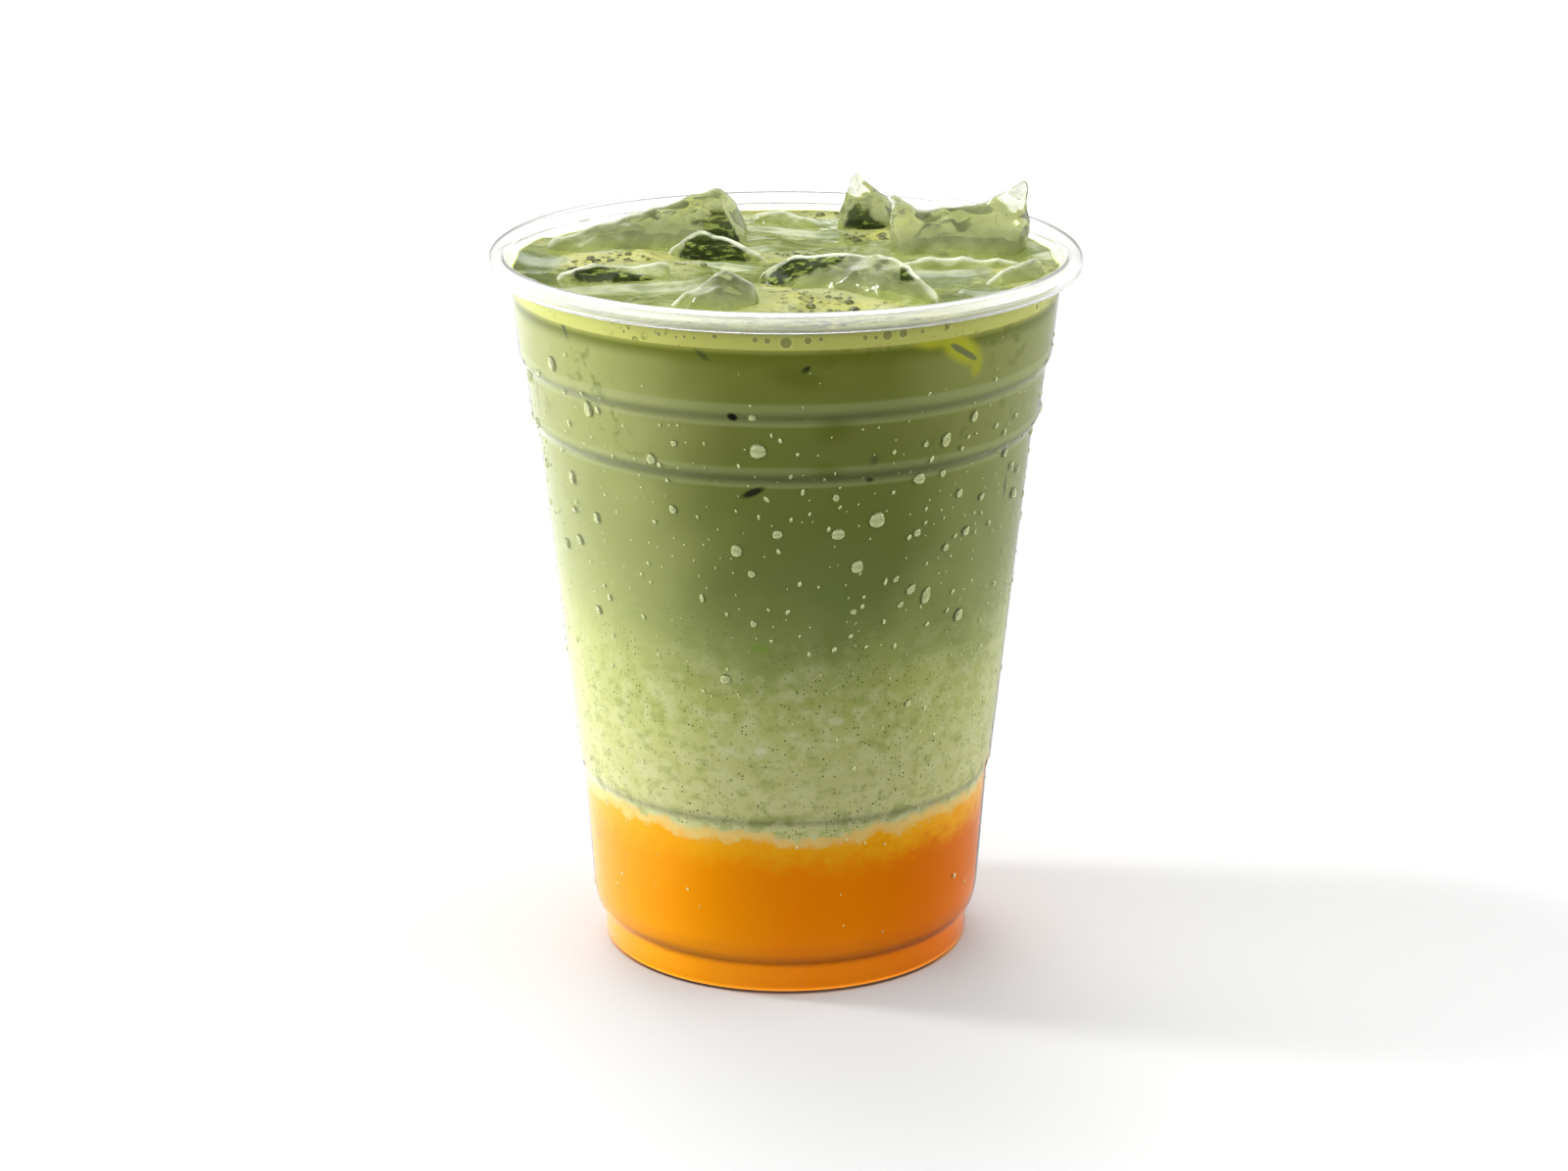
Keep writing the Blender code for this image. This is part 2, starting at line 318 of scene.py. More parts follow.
print("rim", CURL_CENTRE[0] + CURL_INSIDE + WALL, "mm from the axis")


# %% Spinning an outline
AROUND = 192


def outline(points):
    """A bmesh with the outline's points joined by edges, and its vertices in order."""
    line = bmesh.new()
    corners = [line.verts.new((radius * MM, 0.0, height * MM)) for radius, height in points]
    for first, second in zip(corners, corners[1:]):
        line.edges.new((first, second))
    return line, corners


def softened(line, corners, offset):
    """Rounds some of an outline's corners."""
    bmesh.ops.bevel(
        line, geom=corners, affect="VERTICES", offset=offset * MM, offset_type="OFFSET",
        segments=4, profile=0.5, material=-1, clamp_overlap=True,
    )


def spun(line):
    """The outline turned once about the Z axis, with its faces pointing away from the inside."""
    bmesh.ops.spin(
        line, geom=line.verts[:] + line.edges[:], cent=(0, 0, 0), axis=(0, 0, 1),
        angle=2 * math.pi, steps=AROUND, use_merge=True,
    )
    bmesh.ops.remove_doubles(line, verts=line.verts, dist=0.001 * MM)
    bmesh.ops.recalc_face_normals(line, faces=line.faces)
    side = min(line.faces, key=lambda face: abs(face.calc_center_median().z - 60 * MM))
    if side.normal.dot(side.calc_center_median() * Vector((1, 1, 0))) < 0:
        bmesh.ops.reverse_faces(line, faces=line.faces)
    return line


def piece(name, shape, finish, node):
    """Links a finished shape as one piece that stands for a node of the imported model."""
    mesh = bpy.data.meshes.new(name)
    shape.to_mesh(mesh)
    shape.free()
    mesh.shade_smooth()
    mesh.set_sharp_from_angle(angle=math.radians(40))
    mesh.materials.append(finish)
    made = bpy.data.objects.new(name, mesh)
    bpy.context.scene.collection.objects.link(made)
    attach(made, "root")
    if node:
        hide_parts(node)
    print(name, len(mesh.vertices), "vertices")
    return made


# %% [markdown]
# A sheet of plastic half a millimetre thick hardly moves what is seen through it, so where the drink touches it, it
# can be a film: see-through, with a reflection that grows towards its edges. The rolled rim is different, because
# light runs round inside it. There the plastic bends light for real. Rays that look for a light go straight through
# either, which keeps the drink evenly lit, without the grain that bent light makes.


# %% Clear materials
def drop_veil(finish):
    """Painted light and shade on a drop: its lower edge is painted pale, for the light that it gathers from above, and
    its upper edge dark, as painted shade.
    """
    facing = finish.node("ShaderNodeTexCoord", output="Normal")
    up = finish.node("ShaderNodeSeparateXYZ", inputs={0: facing}, output=2)
    lower, upper = finish.rise(up, 0.0, -0.55), finish.rise(up, 0.30, 0.75)
    colour = finish.blend(upper, (0.76, 0.82, 0.40), (0.07, 0.09, 0.015))
    return colour, 0.22 + lower * 0.36 + upper * 0.12


def clear(name, ior, colour=(1.0, 1.0, 1.0), veil=None, film=None, ripples=None):
    """A see-through finish. The veil gives a matt colour and its share; it holds the ice's cloudiness, and painted
    light, shade and highlights. The film gives two heights in millimetres: above the first the plastic bends light, and
    below the second it is a thin sheet."""
    finish = Finish(name)
    inputs = {"Base Color": opaque(colour), "Roughness": 0.0, "IOR": ior, "Transmission Weight": 1.0}
    if ripples:
        waves = {"Height": finish.grain(finish.position(), ripples, 2.0), "Strength": 0.4, "Distance": 0.3 * MM}
        inputs["Normal"] = finish.node("ShaderNodeBump", inputs=waves)
    body = finish.node("ShaderNodeBsdfPrincipled", inputs=inputs)
    through = finish.node("ShaderNodeBsdfTransparent", inputs={"Color": opaque(colour)})
    if veil:
        veil_colour, share = veil(finish) if callable(veil) else veil
        matt = {"Base Color": opaque(veil_colour), "Roughness": 0.8, "Specular IOR Level": 0.0}
        cloudy = finish.node("ShaderNodeBsdfPrincipled", inputs=matt)
        body = finish.node("ShaderNodeMixShader", inputs={0: share, 1: body, 2: cloudy})
    if film:
        mirror = finish.node("ShaderNodeBsdfGlossy", inputs={"Roughness": 0.03})
        edge_on = finish.node("ShaderNodeFresnel", inputs={"IOR": 1.33})
        sheet = finish.node("ShaderNodeMixShader", inputs={0: edge_on, 1: through, 2: mirror})
        thin = finish.rise(finish.along(2), *film)
        body = finish.node("ShaderNodeMixShader", inputs={0: thin, 1: body, 2: sheet})
    is_shadow = finish.node("ShaderNodeLightPath", output="Is Shadow Ray")
    return finish.ends_in(finish.node("ShaderNodeMixShader", inputs={0: is_shadow, 1: body, 2: through}))


LIP = SIDE[0][1]
# Painted light: the whitish veil in the rolled rim stands for the white of the room that the clear curl shows.
RIM_PAINTED_LIGHT = ((0.80, 0.82, 0.76), 0.12)
plastic = clear("clear_plastic", 1.5, (0.99, 0.99, 0.985), veil=RIM_PAINTED_LIGHT, film=(LIP, LIP - 1.0))
# Painted light: each tiny dew bead gets a pale veil for the glint and gathered light that make it show pale.
dew_finish = clear("dew", 1.36, veil=((0.78, 0.84, 0.42), 0.34))
drop_finish = clear("water_drops", 1.36, veil=drop_veil)
print("clear finishes made")

# %% The tumbler's sheet
rim_points = curl()
line, corners = outline(rim_points + SIDE + FOOT + BASE)
start = len(rim_points)
steps = corners[start + 2:start + 8]
low = corners[start + 8:start + 12] + corners[-3:-1]
softened(line, steps, 0.62)
softened(line, [corner for corner in low if corner.is_valid], 0.42)
tumbler = piece("tumbler", spun(line), plastic, "cup")
sheet = tumbler.modifiers.new("Sheet", "SOLIDIFY")
sheet.thickness = WALL * MM
sheet.offset = -1.0
sheet.use_even_offset = True

# %% [markdown]
# ## The ice
#
# Half-melted ice has soft faces and thin bright crests. Each piece starts as a cube, cut into cells along its
# length, whose top is pulled up to a crest through a few measured points. Subdivision rounds it, and a noise that
# ripples the surface gives it the uneven faces of melting ice.

# %% Where the ice is
FROTH_LEVEL = 115.2
ICE = {
    "ice_back_left": (
        12.0,
        ((-39.6, 12, 118.0), (-32.0, 15.5, 119.8), (-25.0, 18, 121.2), (-16.4, 20.0, 124.0), (-11.4, 20.5, 125.8),
         (-6.8, 22, 120.4)),
    ),
    "ice_middle_left": (
        9.0,
        ((-19.6, 8.2, 117.0), (-14.2, 8.8, 120.6), (-9.0, 7.8, 118.9), (-3.2, 5, 117.0)),
    ),
    "ice_front_left": (
        12.0,
        ((-37.0, -9.5, 116.8), (-30.8, -7, 118.4), (-24.4, -5.5, 117.6), (-18.6, -4, 118.2)),
    ),
    "ice_front_small": (
        13.5,
        ((-18.0, -27, 116.4), (-13.4, -26, 119.6), (-9.4, -25, 121.9), (-4.6, -25, 118.6)),
    ),
    "ice_front_arch": (
        12.5,
        ((-4.2, -8.5, 116.8), (1.0, -9.5, 120.2), (8.5, -11.5, 120.8), (15.4, -15.5, 122.0), (19.8, -20, 120.6),
         (24.4, -25.5, 116.8)),
    ),
    "ice_back_middle": (
        8.5,
        ((-5.4, 36, 117.2), (0.2, 35, 118.2), (6.2, 31.6, 117.2)),
    ),
    "ice_back_tooth": (
        9.5,
        ((9.4, 34.5, 118.6), (12.2, 33.5, 125.8), (18.4, 33.0, 120.0)),
    ),
    "ice_back_right": (
        12.5,
        ((17.4, 14, 126.0), (22.0, 14.5, 122.6), (27.6, 15.5, 123.2), (34.0, 15, 124.2), (40.8, 13.5, 129.0)),
    ),
    "ice_right": (
        7.0,
        ((18.4, 1.2, 117.0), (28.5, 1.0, 117.6), (39.0, 1.6, 117.1)),
    ),
    "ice_front_right": (
        9.5,
        ((32.2, -13.0, 116.8), (36.6, -9.0, 118.2), (41.4, -5.0, 119.0)),
    ),
}


def ice_cage(width, crest, draw):
    """The coarse cage of one piece of ice, in millimetres, whose crest runs through the given points."""
    cells = len(crest) - 1
    cage = bmesh.new()
    bmesh.ops.create_cube(cage, size=1.0)
    along = [e for e in cage.edges if abs(e.verts[0].co.x - e.verts[1].co.x) > 0.5]
    bmesh.ops.subdivide_edges(cage, edges=along, cuts=cells - 1, use_grid_fill=True)
    for axis in (1, 2):
        across = [e for e in cage.edges if abs(e.verts[0].co[axis] - e.verts[1].co[axis]) > 0.5]
        bmesh.ops.subdivide_edges(cage, edges=across, cuts=1, use_grid_fill=True)
    crest_edge = cage.edges.layers.float.new("crease_edge")
    crest_point = cage.verts.layers.float.new("crease_vert")
    depth = draw.uniform(10.5, 14.0)
    ridge = set()
    for vertex in cage.verts:
        station = round((vertex.co.x + 0.5) * cells)
        side, level = round(vertex.co.y * 2), round(vertex.co.z * 2)
        here = Vector(crest[station])
        run = Vector(crest[min(station + 1, cells)]) - Vector(crest[max(station - 1, 0)])
        across = Vector((-run.y, run.x, 0.0)).normalized()
        jitter = Vector([draw.uniform(-1, 1) for _ in range(3)]) * 0.07 * width
        lift = here.z - FROTH_LEVEL
        if level == 1 and side == 0:
            offset, height, jitter = 0.0, lift, Vector()
            ridge.add(vertex)
        elif level == 1 and side < 0:
            offset, height = 0.84, lift * draw.uniform(0.28, 0.50)
        elif level == 1:
            offset, height = 0.46, lift * draw.uniform(0.30, 0.62)
        elif level == 0:
            offset, height = 1.30 if side < 0 else 0.72, -2.5
        else:
            offset, height = 0.72, -depth
        half_width = width / 2 * (0.74 if station in (0, cells) else 1.0)
        place = Vector((here.x, here.y, 0.0)) + across * side * offset * half_width + jitter
        vertex.co = place + Vector((0.0, 0.0, FROTH_LEVEL + height))
    for edge in cage.edges:
        if edge.verts[0] in ridge and edge.verts[1] in ridge:
            edge[crest_edge] = 0.55
    for vertex in ridge:
        vertex[crest_point] = 0.45
    return cage


def off_the_wall(vertex, room):
    """Moves a point, in millimetres, in from the wall where it is nearer to it than the room given."""
    limit = wall_radius(min(vertex.z, LIP)) - WALL - room
    radius = math.hypot(vertex.x, vertex.y)
    if radius > limit:
        vertex.x *= limit / radius
        vertex.y *= limit / radius


# %% [markdown]
# Ice that floats in a milky drink takes on its colour: cloudy and green low down, and clearer towards the tips. A
# painted highlight makes it whitish along the crests. A few faces carry painted shade instead: the dark inside of the
# drink, seen deep through the ice.

# %% The ice's finish
PAINTED_SHADE_WINDOWS = [
    # centre, half width along and across, in millimetres
    ((-12.0, 5.5), (6.0, 3.0)), ((2.5, -12.0), (8.0, 2.6)), ((-29.0, -9.5), (7.0, 2.0)), ((-11.0, 16.5), (4.5, 2.0)),
    ((13.5, 29.5), (4.5, 1.6)), ((20.0, -21.0), (2.0, 1.6)),
]


def patches(finish, place, ovals, fray):
    """1 inside any of the ovals on the surface, with edges frayed by a number that varies."""
    inside = 0.0
    for (x, y), (along, across) in ovals:
        inputs = {"Vector": place, "Location": (x * MM, y * MM, 0.116), "Scale": (along * MM, across * MM, 1.0)}
        oval = finish.node("ShaderNodeMapping", {"vector_type": "TEXTURE"}, inputs)
        inside = finish.rise(finish.length(oval) + fray, 1.15, 0.80).at_least(inside)
    return inside


def ice_veil(finish):
    """The matt part of the ice: its colour and its share, with painted shade in a few windows and painted highlights on
    the crests.
    """
    place, height = finish.position(), finish.along(2)
    crest = finish.node("ShaderNodeAttribute", {"attribute_name": "crest"}, output="Fac")
    cloudy = finish.grain(place, 3.2, 3.0)
    streaks = finish.grain(finish.stretched(place, (0.6, 1.0, 1.6)), 1.6, 3.0, 0.6, 0.6)
    low = finish.rise(height + cloudy * 3, 121.5, 117.5)
    colour = finish.blend(low, (0.30, 0.33, 0.16), (0.19, 0.22, 0.06))
    share = 0.14 + low * 0.50 + finish.rise(cloudy, 0.45, 0.60) * 0.14
    # Painted shade: a few faces are painted dark, for the inside of the drink seen deep through the ice.
    shade_window = patches(finish, place, PAINTED_SHADE_WINDOWS, (cloudy - 0.5) * 1.4)
    deep = finish.blend(finish.rise(streaks, 0.50, 0.66), (0.012, 0.018, 0.003), (0.13, 0.16, 0.035))
    colour = finish.blend(shade_window, colour, deep)
    share = share.at_least(shade_window * 0.85)
    # Painted highlight: the crests are painted whitish, where the lamp glints on them.
    ridge = finish.rise(crest + (streaks - 0.5) * 0.5, 0.35, 0.95)
    colour = finish.blend(ridge, colour, (0.52, 0.55, 0.40))
    return colour, share.at_least(ridge * 0.42)


ice_finish = clear("clear_ice", 1.31, (0.975, 0.99, 0.93), veil=ice_veil, ripples=1.8)

# %% The ice's surface
def crest_distance(point, crest):
    """How far a point is from the line through a crest's points, in millimetres. Height counts half."""
    nearest = 1e9
    for first, second in zip(crest, crest[1:]):
        a, b = Vector(first), Vector(second)
        share = max(0.0, min(1.0, (point - a).dot(b - a) / (b - a).length_squared))
        away = point - a.lerp(b, share)
        nearest = min(nearest, math.hypot(away.x, away.y, away.z * 0.5))
    return nearest


def rounded_ice(cage, rounds, shrink=0.0, ripple=0.0, crest=None):
    """The cage rounded by subdivision, with ripples, in metres. An attribute says how near the crest a point is."""
    mesh = bpy.data.meshes.new("ice_cage")
    cage.to_mesh(mesh)
    holder = bpy.data.objects.new("ice_cage", mesh)
    bpy.context.scene.collection.objects.link(holder)
    rounding = holder.modifiers.new("Round", "SUBSURF")
    rounding.levels = rounding.render_levels = rounds
    smooth = bpy.data.meshes.new_from_object(holder.evaluated_get(bpy.context.evaluated_depsgraph_get()))
    bpy.data.objects.remove(holder)
    shape = bmesh.new()
    shape.from_mesh(smooth)
    bpy.data.meshes.remove(smooth)
    bpy.data.meshes.remove(mesh)
    shape.normal_update()
    near_crest = shape.verts.layers.float.new("crest")
    for vertex in shape.verts:
        if crest:
            vertex[near_crest] = max(0.0, 1.0 - crest_distance(vertex.co, crest) / 1.7)
        wave = 0.0
        if ripple:
            scoop = noise.voronoi(vertex.co / 4.6)[0][0]
            wave = ripple * (min(scoop * scoop * 2.0, 1.0) - 0.5) + ripple * 0.35 * noise.noise(vertex.co / 2.1)
        vertex.co += vertex.normal * (wave - shrink)
        off_the_wall(vertex.co, 1.4)
        vertex.co *= MM
    return shape


draw = random.Random(11)
cages = {name: ice_cage(width, crest, draw) for name, (width, crest) in ICE.items()}
for name, cage in cages.items():
    piece("clear_" + name, rounded_ice(cage, 4, ripple=0.55, crest=ICE[name][1]), ice_finish, name)

# %% [markdown]
# ## The drink
#
# Through the clear wall each layer shows its own colour, and the layers run into each other: puree into milk along a
# ragged line, and milk into matcha in a soft, speckled slope. All of that depends on height, so one finish serves
# every layer, and no seam shows where one piece ends and the next begins. A faint glow in the lowest millimetre stands
# for the light that has scattered down through the puree. Single marks, such as bits of leaf or the yellow streak under
# the rim, are ovals placed on the wall, and so are dark ovals of painted shade where ice touches the wall. Paler bands
# of painted light at the wall's steps make up for the shade that the steps add.

# %% Colours of the drink
LEVELS = [
    # height in millimetres and the colour there, in the darker middle of the drink, without the painted side light
    (27.0, (0.70, 0.69, 0.31)),
    (36.0, (0.66, 0.67, 0.28)),
    (47.0, (0.56, 0.60, 0.21)),
    (54.0, (0.46, 0.51, 0.15)),
    (60.0, (0.36, 0.41, 0.125)),
    (66.0, (0.26, 0.31, 0.090)),
    (73.0, (0.205, 0.248, 0.066)),
    (86.0, (0.185, 0.222, 0.050)),
    (100.0, (0.20, 0.232, 0.050)),
    (109.5, (0.205, 0.24, 0.042)),
    (112.2, (0.16, 0.19, 0.022)),
    (113.6, (0.50, 0.53, 0.127)),
]
PUREE = (0.97, 0.255, 0.001)
# Lit and shaded copies of the puree: painted light on its left, painted shade on its right.
PUREE_PAINTED_LIGHT = (0.98, 0.36, 0.002)
PUREE_PAINTED_SHADE = (0.80, 0.178, 0.001)
PEACH = (0.97, 0.62, 0.17)
YELLOW = (0.98, 0.44, 0.01)
CURD = (0.74, 0.77, 0.42)
LEAF = (0.27, 0.35, 0.065)
SPECK = (0.05, 0.08, 0.02)


def ramp(finish, value, stops):
    """Colours along a scale of a number."""
    low, high = stops[0][0], stops[-1][0]
    places = [((at - low) / (high - low), colour) for at, colour in stops]
    return finish.node("ShaderNodeValToRGB", {"stops": places}, {0: (value - low) * (1 / (high - low))})


def spot(finish, place, centre, size, turn=0.0, soft=0.5):
    """1 in an oval around a point of the wall, given in millimetres, and 0 outside it."""
    inputs = {
        "Vector": place,
        "Location": [c * MM for c in centre],
        "Rotation": (0.0, math.radians(turn), math.atan2(centre[0], -centre[1])),
        "Scale": (size[0] * MM, 4 * MM, size[1] * MM),
    }
    oval = finish.node("ShaderNodeMapping", {"vector_type": "TEXTURE"}, inputs)
    return finish.rise(finish.length(oval), 1.0, 1.0 - soft)


MARKS = [
    # centre, half width and height in millimetres, turn in degrees, softness, strength, colour
    # Painted shade: dark ovals where ice presses on the wall, and the view goes through the clear ice into the dim
    # drink.
    ((-35.2, -28.1, 112.6), (0.75, 2.7), -28, 0.9, 0.80, (0.05, 0.07, 0.04)),
    ((-12.9, -43.0, 111.9), (0.8, 2.3), -55, 0.9, 0.75, (0.06, 0.08, 0.03)),
    ((3.2, -44.6, 110.0), (1.1, 0.6), -35, 0.6, 0.95, (0.01, 0.015, 0.01)),
    ((-8.3, -42.7, 102.0), (1.1, 0.9), 20, 0.5, 0.97, (0.006, 0.008, 0.006)),
    ((-5.1, -40.5, 89.2), (2.7, 0.85), -24, 0.6, 0.92, (0.010, 0.014, 0.010)),
    ((14.0, -39.9, 94.3), (1.1, 1.3), 30, 0.9, 0.55, (0.05, 0.07, 0.06)),
    ((13.3, -38.8, 90.8), (1.0, 0.6), 10, 0.7, 0.75, (0.02, 0.03, 0.02)),
    ((35.9, -18.3, 84.0), (0.55, 2.6), 0, 0.8, 0.75, (0.02, 0.03, 0.02)),
    ((22.6, -39.0, 113.0), (4.6, 1.8), 8, 0.8, 0.85, (0.54, 0.56, 0.035)),
    ((27.8, -35.2, 111.0), (6.6, 2.8), 30, 0.6, 0.90, (0.54, 0.56, 0.035)),
    ((30.3, -32.6, 107.4), (1.9, 2.5), 12, 0.8, 0.80, (0.48, 0.50, 0.035)),
    ((28.2, -34.8, 110.4), (3.8, 0.66), 31, 0.4, 0.90, (0.20, 0.23, 0.085)),
    ((29.3, -33.9, 109.6), (2.1, 0.62), 31, 0.4, 0.85, (0.20, 0.23, 0.085)),
    ((27.1, -35.7, 111.2), (2.1, 0.62), 31, 0.4, 0.85, (0.20, 0.23, 0.085)),
    ((-4.1, -37.9, 62.7), (2.6, 1.1), 15, 0.9, 0.60, (0.22, 0.36, 0.03)),
    ((1.8, -44.5, 108.6), (7.0, 3.0), 10, 0.95, 0.60, (0.125, 0.150, 0.014)),
    ((7.6, -42.4, 99.6), (5.2, 3.6), -10, 0.95, 0.60, (0.125, 0.150, 0.014)),
    ((6.7, -41.2, 92.8), (4.4, 2.6), 15, 0.95, 0.45, (0.125, 0.155, 0.014)),
    ((8.2, -36.0, 49.6), (2.0, 1.1), 5, 0.6, 0.80, (0.66, 0.70, 0.38)),
    ((-9.0, -35.0, 44.2), (1.1, 1.0), 0, 0.6, 0.70, (0.66, 0.70, 0.38)),
    ((-4.0, -35.5, 44.6), (1.3, 1.1), 0, 0.6, 0.90, (0.72, 0.75, 0.48)),
]


PAINTED_STEP_LIGHT = [
    # a paler band of painted light at a step of the wall: from and to a height in millimetres, share, colour
    (102.5, 104.3, 0.22, (0.60, 0.66, 0.36)),
    (100.4, 102.5, 0.40, (0.55, 0.61, 0.28)),
    (92.2, 93.6, 0.20, (0.60, 0.66, 0.36)),
    (90.0, 92.2, 0.40, (0.52, 0.60, 0.27)),
    (30.2, 32.4, 0.32, (0.78, 0.82, 0.45)),
]


def drink_finish(name):
    """The finish of all the layers: colour by height, with ragged edges, curds and specks of tea, and painted light and
    shade on the sides, at the steps, where ice touches the wall and in the ice's hollows.
    """
    finish = Finish(name)
    place, height, across = finish.position(), finish.along(2), finish.along(0)
    drift = finish.grain(place, 22.0, 2.0) - 0.5
    ragged = finish.grain(place, 4.2, 4.0, 0.62) - 0.5
    mixing = finish.rise(height, 40.0, 58.0) * finish.rise(height, 100.0, 70.0)
    body = ramp(finish, height - mixing * (drift * 30 + ragged * 5), LEVELS)

    # Painted light: the drink's left side, and less so its right, is painted paler, where the low side panels light it.
    painted_side_light = finish.rise(across + drift * 30, -6.0, -34.0) * 0.34
    painted_side_light = painted_side_light + finish.rise(across + drift * 24, 14.0, 34.0) * 0.16
    painted_side_light = painted_side_light * finish.rise(height, 112.5, 110.0) * finish.rise(height, 30.0, 60.0)
    body = finish.blend(painted_side_light, body, (0.76, 0.80, 0.33))

    milky = finish.rise(height + drift * 14, 68.0, 48.0)
    clots = finish.grain(finish.stretched(place, (1.0, 1.0, 1.15)), 3.6, 3.5, 0.58, 0.2)
    body = finish.blend(finish.rise(clots, 0.40, 0.68) * milky * 0.50, body, CURD)
    wisps = finish.grain(finish.stretched(place, (1.0, 1.0, 1.3), (0.03, 0.0, 0.0)), 2.6, 4.0, 0.60, 0.3)
    body = finish.blend(finish.rise(wisps, 0.46, 0.72) * milky * 0.50, body, LEAF)
    body = finish.blend(specks(finish, place, height), body, SPECK)

    deep = finish.rise(finish.grain(place, 2.4, 4.0, 0.6), 0.50, 0.64) * finish.rise(height, 88.0, 98.0)
    body = finish.blend(deep * finish.rise(finish.grain(place, 18.0, 1.0), 0.5, 0.65) * 0.45, body, (0.12, 0.15, 0.012))
    for low, high, share, colour in PAINTED_STEP_LIGHT:
        step_light = finish.rise(height, low - 0.3, low + 0.3) * finish.rise(height, high + 0.35, high - 0.35)
        body = finish.blend(step_light * share, body, colour)
    for centre, size, turn, soft, strength, colour in MARKS:
        body = finish.blend(spot(finish, place, centre, size, turn, soft) * strength, body, colour)

    # Painted light and shade in the ice's hollows, seen through the ice: a pale froth colour, brighter than the drink
    # to stand for the light that comes in through the ice, broken by dark patches of painted shade.
    hollow = finish.rise(finish.from_axis(), 42.2, 41.4) * finish.rise(height, 98.0, 104.0)
    light_and_shade_patches = finish.rise(finish.grain(place, 6.0, 3.0), 0.34, 0.46)
    inside = finish.blend(light_and_shade_patches, (0.10, 0.13, 0.02), (0.66, 0.74, 0.30))
    body = finish.blend(hollow * 0.9, body, inside)

    seam = height - 1.7 + drift * 6 + ragged * 3.6
    crumbly = finish.grain(finish.stretched(place, (1.0, 1.0, 1.3)), 2.2, 4.0, 0.65) - 0.5
    dotted = finish.rise(height, 29.0, 31.0) * finish.rise(height, 34.6, 32.0) * finish.rise(ragged, 0.0, 0.12)
    body = finish.blend(dotted * 0.5, body, (0.26, 0.33, 0.06))
    # The puree is painted lighter to the left and darker to the right, as painted light and shade.
    orange = finish.blend(finish.rise(across + drift * 14, 6.0, -26.0), PUREE, PUREE_PAINTED_LIGHT)
    orange = finish.blend(finish.rise(across, 8.0, 26.0), orange, PUREE_PAINTED_SHADE)
    body = finish.blend(finish.rise(seam + crumbly * 3, 28.6, 27.2) * 0.80, body, PEACH)
    body = finish.blend(finish.rise(seam + crumbly * 4, 27.0, 25.4), body, YELLOW)
    body = finish.blend(finish.rise(seam + crumbly * 7, 26.0, 19.5), body, orange)
    glow = finish.blend(finish.rise(height, 1.3, 0.5), (0.0, 0.0, 0.0), (0.80, 0.30, 0.03))
    inputs = {"Base Color": body, "Roughness": 0.55, "Specular IOR Level": 0.0}
    inputs |= {"Emission Color": glow, "Emission Strength": 0.8}
    return finish.ends_in(finish.node("ShaderNodeBsdfPrincipled", inputs=inputs))


def specks(finish, place, height):
    """Undissolved tea powder: tiny dark dots in the milk."""
    dot = finish.cells(place, 0.62)
    chance = finish.node("ShaderNodeSeparateColor", inputs={0: dot.also("Color")})
    size = finish.rise(chance, 0.15, 1.0) * 0.31
    near = finish.rise(size - dot, 0.0, 0.04)
    clustered = finish.rise(finish.grain(place, 5.0, 2.0), 0.38, 0.60) * 0.7 + 0.3
    return near * clustered * finish.rise(height, 27.5, 30.5) * finish.rise(height, 78.0, 50.0) * 0.92


drink = drink_finish("layered_drink")
print("drink finish made")


# %% The layers
def inset(points, distance):
    """The outline moved to its inner side, with its corners mitred."""
    moved = []
    for i, point in enumerate(points):
        before, here = Vector(points[max(i - 1, 0)]), Vector(point)
        after = Vector(points[min(i + 1, len(points) - 1)])
        normals = [Vector((edge.y, -edge.x)).normalized() for edge in (here - before, after - here) if edge.length]
        middle = sum(normals, Vector((0.0, 0.0))).normalized()
        moved.append(tuple(here + middle * distance / middle.dot(normals[0])))
    return moved


IN_WALL = 0.12
FILLING = inset([(45.9, 117.7)] + SIDE[1:] + FOOT + BASE, WALL - IN_WALL)
PUREE_TOP, MILK_TOP, MATCHA_TOP = 28.3, 56.1, 113.15
OUTSIDE_FOOT = 31.5


def filling_radius(height):
    """The radius of what fills the tumbler, at a height."""
    for (upper, top), (lower, bottom) in zip(FILLING, FILLING[1:]):
        if bottom <= height <= top:
            return lower + (upper - lower) * (height - bottom) / (top - bottom)
    return FILLING[0][0]


def layer_points(bottom, top):
    """The filling's outline between two levels, closed to the axis. No bottom means the tumbler's base."""
    points = [(0.0, top), (filling_radius(top), top)]
    points += [point for point in FILLING if point[1] < top - 0.2 and (bottom is None or point[1] > bottom + 0.2)]
    if bottom is not None:
        points += [(filling_radius(bottom), bottom), (0.0, bottom)]
    return points


def layer(name, bottom, top, node):
    """A layer of the drink between two levels, with the wall's steps softened in its side."""
    line, corners = outline(layer_points(bottom, top))
    inner = [c for c in corners if OUTSIDE_FOOT * MM < c.co.x and bottom is not None]
    inner = [c for c in inner if (bottom + 1) * MM < c.co.z < (top - 1) * MM]
    if inner:
        softened(line, inner, 0.62)
    return piece(name, spun(line), drink, node)


layer("puree_layer", None, PUREE_TOP, "mango_puree")
layer("milk_layer", PUREE_TOP, MILK_TOP, "milk")
matcha = layer("matcha_layer", MILK_TOP, MATCHA_TOP, "matcha")

# %% [markdown]
# ## The froth
#
# The froth is a thin raft. It swells over sunken ice, climbs the wall and every piece of ice, and is full of small
# bubbles. Between the rafts of froth the drink's own glossy surface shows. The surface is a spun disc with many
# rings, lifted point by point.

# %% The froth's surface
FROTH_HUMPS = [
    # centre, height and radius in millimetres
    (-27.0, 5.5, 1.6, 6.5),
    (5.0, -22.0, 1.1, 6.0),
]


